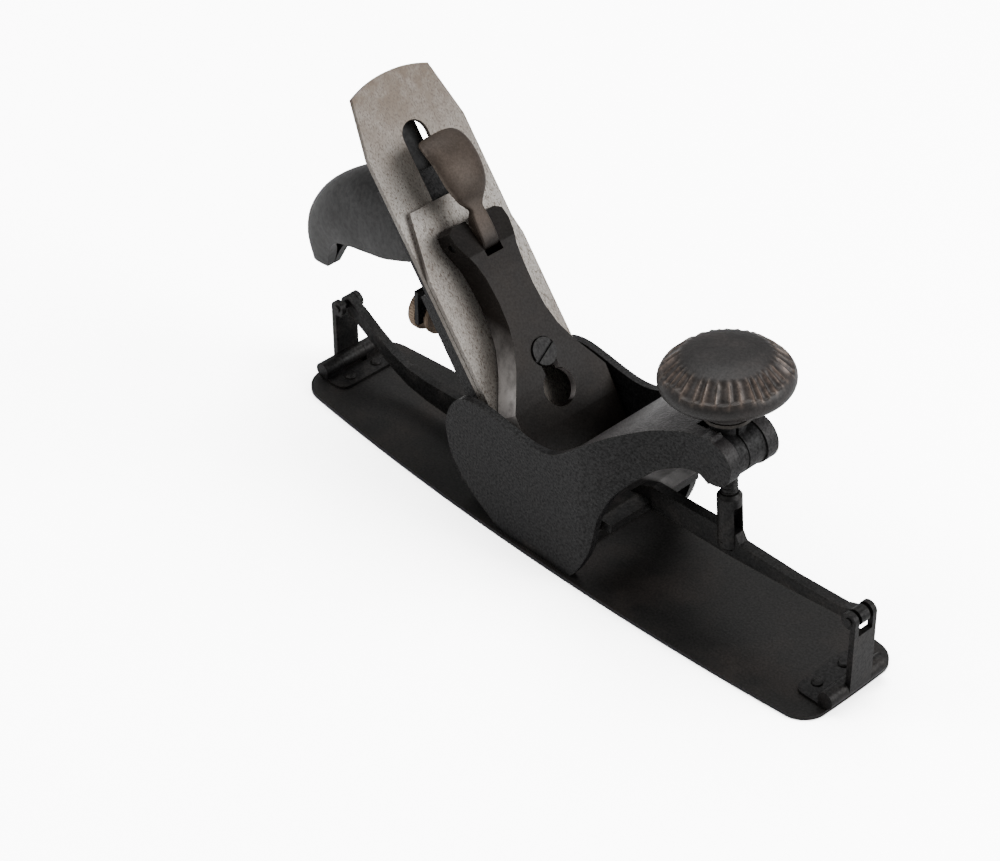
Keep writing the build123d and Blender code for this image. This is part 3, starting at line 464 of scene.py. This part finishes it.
# KNOB
# A cast hand wheel with a domed top, a scalloped rim and a bore for the clevis screw. Its
# flutes differ a little from one another, and the ridges between them are worn lighter, with a painted glint
# laid on them too.
knob_colours = [(0.010, 0.0085, 0.008), (0.017, 0.0145, 0.0135), (0.030, 0.024, 0.022)]
# the ridges take the lighter worn colour: coppery wear with a painted glint
knob_finish = finish("knob_dark", 0.2, knob_colours, (0.38, 0.48), bump=0.3, grain=900, patch=110,
                     specular=0.55, worn_and_glint=(0.24, 0.182, 0.150))
bore_radius, head_lift = 3.15, 1.1
flute_depth, flutes_fade, flutes_end = 1.15, 6.6, 8.2
# radius and height: the head from the top down, then the neck, and the bore from its foot up
knob_side = [(0.01, 9.6), (8, 9.25), (13, 8.4), (16.4, 7.2), (19.0, 5.1), (21.1, 3.0), (22.3, 1.1),
             (knob_radius, -0.8), (22.3, -2.8), (20.6, -4.6), (17, -6.0), (12, -6.7), (8.0, -7.0)]
knob_rows = smooth_line(knob_side, 7)
knob_rows += [(8.0, -9.0), (8.0, -13.2), (7.7, -13.3), (4.24, -13.3), (4.24, -35.0)]
knob_rows += [(bore_radius, -35.0), (bore_radius, 1.4), (0.01, 1.5)]
random.seed(7)
widths = [random.uniform(0.62, 1.4) for _ in range(flutes)]
marks = [0.0]
for width in widths:
    marks.append(marks[-1] + width * 2 * math.pi / sum(widths))
depths = [random.uniform(0.55, 1.0) for _ in range(flutes)]
lows = [random.uniform(2.2, 3.6) for _ in range(flutes)]
columns = 432
rows, wear = [], []
for radius, height in knob_rows:
    row = []
    for k in range(columns):
        angle = 2 * math.pi * k / columns
        which = next(i for i in range(flutes) if angle < marks[i + 1] or i == flutes - 1)
        part = (angle - marks[which]) / (marks[which + 1] - marks[which])
        scoop = math.sin(math.pi * min(1, max(0, part))) ** 0.75
        below_dome = 1 - ease(flutes_fade, flutes_end, height)
        band = below_dome * ease(lows[which] - 0.5, lows[which] + 0.5, height)
        cut = flute_depth * depths[which] * scoop * band
        outside = radius > bore_radius or height > 2
        lift = head_lift * ease(-9.0, -6.5, height) if outside else 0.0
        row.append(on_spindle(max(0.01, radius - cut * 0.8), height + lift - cut * 0.62, angle))
        shown = below_dome * ease(lows[which] - 2.2, lows[which], height)
        # ridge value: wear, and a painted glint on the ridges
        wear.append(shown * (0.12 + 0.88 * (1 - scoop) ** 1.3))
    rows.append(row)
verts, faces = rings(rows)
knob = piece("knob_fluted", verts, faces, knob_finish, "knob_body", smooth=60, wear=wear)
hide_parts("knob")

# IRON AND CAP IRON
# The blade is flat tool steel, streaked and pitted, and browned toward its top. The cap iron
# is held to its face by a screw through its slot.
iron_colours = [(0.21, 0.186, 0.163), (0.31, 0.286, 0.259), (0.42, 0.397, 0.368)]
iron_finish = finish("grey_iron", 0.7, iron_colours, (0.38, 0.50), bump=0.22, grain=2300, patch=70,
                     stretch=2.2, turn=bed_angle, pits=(2100, 0.375, (0.13, 0.107, 0.090)), speck=0.55,
                     spots=[((0.145, 0.116, 0.091), 0.45, [("z", 0.104, 0.136)])])
iron_rim_colours = [(0.14, 0.108, 0.082), (0.25, 0.20, 0.158), (0.42, 0.36, 0.31)]
iron_rim = finish("iron_edge", 0.6, iron_rim_colours, (0.4, 0.5), bump=0.2, grain=1300, patch=120)
dress(iron_finish, "grey_steel", "iron", "cap_iron", bevel=0.4, rim=iron_rim)
dress(dark_steel, "dark_steel", "cap_iron_screw", bevel=0.15)

# LEVER CAP
# A cast cap with a brown patina, waisted and hollow beneath, held by the screw in its keyhole.
# The near side of its lower end is worn bright.
cap_colours = [(0.006, 0.0046, 0.0040), (0.0095, 0.0073, 0.0062), (0.021, 0.0163, 0.0135)]
near_skirt = [("ny", -0.45, -0.75), ("z", 0.072, 0.054)]
cap_finish = finish("brown_patina", 0.25, cap_colours, (0.34, 0.46), bump=0.14, grain=1300, patch=45,
                    specular=0.24, spots=[((0.40, 0.375, 0.36), 0.30, near_skirt)])
# rim on the cap's rounded edges: worn metal, with a painted highlight along them
cap_rim_colours = [(0.05, 0.038, 0.030), (0.16, 0.13, 0.11), (0.40, 0.36, 0.32)]
cap_rim = finish("cap_edge", 0.6, cap_rim_colours, (0.3, 0.42), bump=0.1, grain=1300, patch=70)
dress(cap_finish, "patina_iron", "lever_cap", bevel=0.7, segments=3, rim=cap_rim)
dress(dark_steel, "dark_steel", "lever_cap_screw", "cam_pin", bevel=0.2, rim=rubbed)

# CAM LEVER
# A cast finger piece of worn brown metal, spoon-shaped above and squared at the neck. Its cam
# turns on the pin in the lever cap and locks it.
spoon = [
    # up the bed, half width, middle off the bed, half thickness
    (106.8, 3.6, 14.0, 0.5), (107.6, 3.6, 14.3, 1.0), (108.9, 3.6, 14.5, 1.65), (110.8, 3.6, 14.2, 2.4),
    (114.0, 3.6, 14.2, 2.6), (118.5, 3.2, 14.9, 2.1), (121.0, 2.7, 15.9, 1.3),
    (123.0, 4.0, 16.0, 1.15), (125.0, 5.8, 16.2, 1.1), (127.5, 7.3, 17.0, 1.1), (132.0, 8.8, 17.6, 1.1),
    (137.0, 9.3, 17.7, 1.1), (140.0, 9.35, 17.2, 1.2), (142.5, 9.4, 16.5, 1.3), (145.0, 9.3, 15.3, 1.45),
    (147.0, 8.9, 13.9, 1.6), (148.4, 8.2, 12.6, 1.6), (149.4, 6.8, 11.6, 1.3), (150.0, 4.0, 11.0, 0.6),
]
cam_colours = [(0.030, 0.0210, 0.0155), (0.053, 0.0382, 0.0285), (0.086, 0.064, 0.050)]
cam_finish = finish("worn_brown", 0.45, cam_colours, (0.42, 0.52), bump=0.14, grain=1300, patch=70,
                    worn_and_glint=(0.22, 0.18, 0.15),
                    spots=[((0.014, 0.0108, 0.0092), 0.4, [("z", 0.104, 0.094)])])
rows, wear = [], []
for u, half, middle, thick in smooth_line(spoon, 6):
    square = 0.30 + 0.35 * ease(119, 126, u)
    row = []
    for a in steps(0, 2 * math.pi, 56)[:-1]:
        c, b = math.cos(a), math.sin(a)
        y = half * math.copysign(abs(c) ** square, c)
        lift = thick * math.copysign(abs(b) ** square, b)
        bow = 1.4 * ease(121, 131, u) * (1 - (y / 9.0) ** 2)
        row.append(on_bed(u, middle + lift + bow, y))
        wear.append(0.45 * ease(0.86, 1.0, abs(c)) * ease(121, 127, u))
    rows.append(row)
verts, faces = rings(rows)
shift = len(verts)
hub = []
hub_up, hub_off = 112, 10
for y, radius in ((-3.6, 5.0), (-3.1, 5.55), (3.1, 5.55), (3.6, 5.0)):
    hub.append([on_bed(hub_up + radius * math.cos(a), hub_off + radius * math.sin(a), y)
                for a in steps(0, 2 * math.pi, 48)[:-1]])
more_verts, more_faces = rings(hub)
verts += more_verts
faces += [tuple(v + shift for v in f) for f in more_faces]
wear += [0.0] * len(more_verts)
cam = piece("cam_lever_spoon", verts, faces, cam_finish, "cam_body", smooth=35, wear=wear)
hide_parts("cam_lever")

# ADJUSTER
# A turned and knurled brass wheel on a threaded steel stud moves the cutter, through a forked
# steel lever pinned behind the bed.
brass_colours = [(0.09, 0.062, 0.042), (0.16, 0.112, 0.076), (0.25, 0.18, 0.125)]
brass = finish("tarnished_brass", 0.5, brass_colours, (0.42, 0.54), bump=0.25, grain=1300, patch=160,
               worn_and_glint=(0.42, 0.32, 0.23))
wheel_x, wheel_z, knurls = -75.5, 51.0, 46


def on_stud(radius, along_x, angle):
    """A point round the stud."""
    return (along_x, radius * math.cos(angle), wheel_z + radius * math.sin(angle))


rows, wear = [], []
# radius and place along the stud
wheel_side = [(3.0, -4.8), (7.4, -4.8), (8.2, -4.5), (8.65, -3.9), (8.65, -1.9), (8.2, -1.3), (7.8, -1.1),
              (5.5, -1.1), (5.5, 3.1), (7.0, 3.1), (7.5, 3.4), (7.5, 4.4), (7.1, 4.8), (3.0, 4.8)]
for radius, place in wheel_side:
    toothed = radius > 8.6
    row = []
    for k in range(knurls * 6):
        angle = 2 * math.pi * k / (knurls * 6)
        groove = 0.35 * (0.5 - 0.5 * math.cos(knurls * angle)) if toothed else 0.0
        row.append(on_stud(radius - groove, wheel_x + place, angle))
        wear.append((0.9 - groove * 2) if radius > 8.1 else 0.1)
    rows.append(row)
rows.append(rows[0])
wear += wear[:knurls * 6]
verts, faces = rings(rows, caps=False)
wheel = piece("depth_wheel_knurled", verts, faces, brass, "wheel_body", smooth=40, wear=wear)
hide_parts("depth_wheel")
dress(dark_steel, "dark_steel", "wheel_stud", "adjusting_lever", "adjusting_lever_pin", bevel=0.2, rim=rubbed)
thread("stud_thread", 2.7, -82.0, -64.0, 1.3, on_stud, dark_steel, "plane_body")

# FLOOR, LIGHT AND CAMERA
# A white paper floor under broad soft lamps, seen from the photograph's own angle. The paper
# shows brighter to the camera than it lights the plane.
bpy.ops.mesh.primitive_plane_add(size=12, location=(0, 0, -0.0002))
floor = bpy.context.object
floor.name = "floor"
paper = bpy.data.materials.new("white_paper")
paper.use_nodes = True
nodes, links = paper.node_tree.nodes, paper.node_tree.links
paper_shader = nodes["Principled BSDF"]
paper_shader.inputs["Roughness"].default_value = 0.9
seen = nodes.new("ShaderNodeLightPath")
tone = mixed(nodes, links, seen.outputs["Is Camera Ray"], grey(0.93), grey(9.0))
links.new(tone, paper_shader.inputs["Base Color"])
floor.data.materials.append(paper)

world = bpy.data.worlds.new("studio")
bpy.context.scene.world = world
world.use_nodes = True
world.node_tree.nodes["Background"].inputs["Color"].default_value = (1, 1, 1, 1)
world.node_tree.nodes["Background"].inputs["Strength"].default_value = 0.45


def lamp(name, place, aim, size, power):
    """A square soft light pointed at aim, in metres."""
    data = bpy.data.lights.new(name, "AREA")
    data.size = size
    data.energy = power
    obj = bpy.data.objects.new(name, data)
    bpy.context.scene.collection.objects.link(obj)
    obj.location = place
    obj.rotation_euler = (Vector(aim) - Vector(place)).to_track_quat("-Z", "Y").to_euler()


lamp("key", (-0.3, 0.45, 1.7), (0, 0, 0.05), 1.5, 17)
lamp("fill", (-0.9, -0.7, 1.3), (0, 0, 0.05), 1.1, 7)
lamp("front", (1.25, 0.75, 0.8), (0, 0, 0.08), 1.1, 17)

azimuth, elevation, roll = math.radians(46.8), math.radians(38.01), math.radians(-0.54)
reach = math.cos(elevation)
forward = Vector((-math.sin(azimuth) * reach, math.cos(azimuth) * reach, -math.sin(elevation)))
level = Vector((math.cos(azimuth), math.sin(azimuth), 0))
above = level.cross(forward)
right = level * math.cos(roll) + above * math.sin(roll)
up = above * math.cos(roll) - level * math.sin(roll)
view = bpy.data.cameras.new("camera")
sensor, lens_per_width = 36, 2.95885
view.sensor_width = sensor
view.lens = sensor * lens_per_width
view.clip_start = 0.01
eye = bpy.data.objects.new("camera", view)
bpy.context.scene.collection.objects.link(eye)
eye_place = (0.5687, -0.5727, 0.6692)
eye.matrix_world = Matrix((
    (right.x, up.x, -forward.x, eye_place[0]),
    (right.y, up.y, -forward.y, eye_place[1]),
    (right.z, up.z, -forward.z, eye_place[2]),
    (0, 0, 0, 1),
))
bpy.context.scene.camera = eye
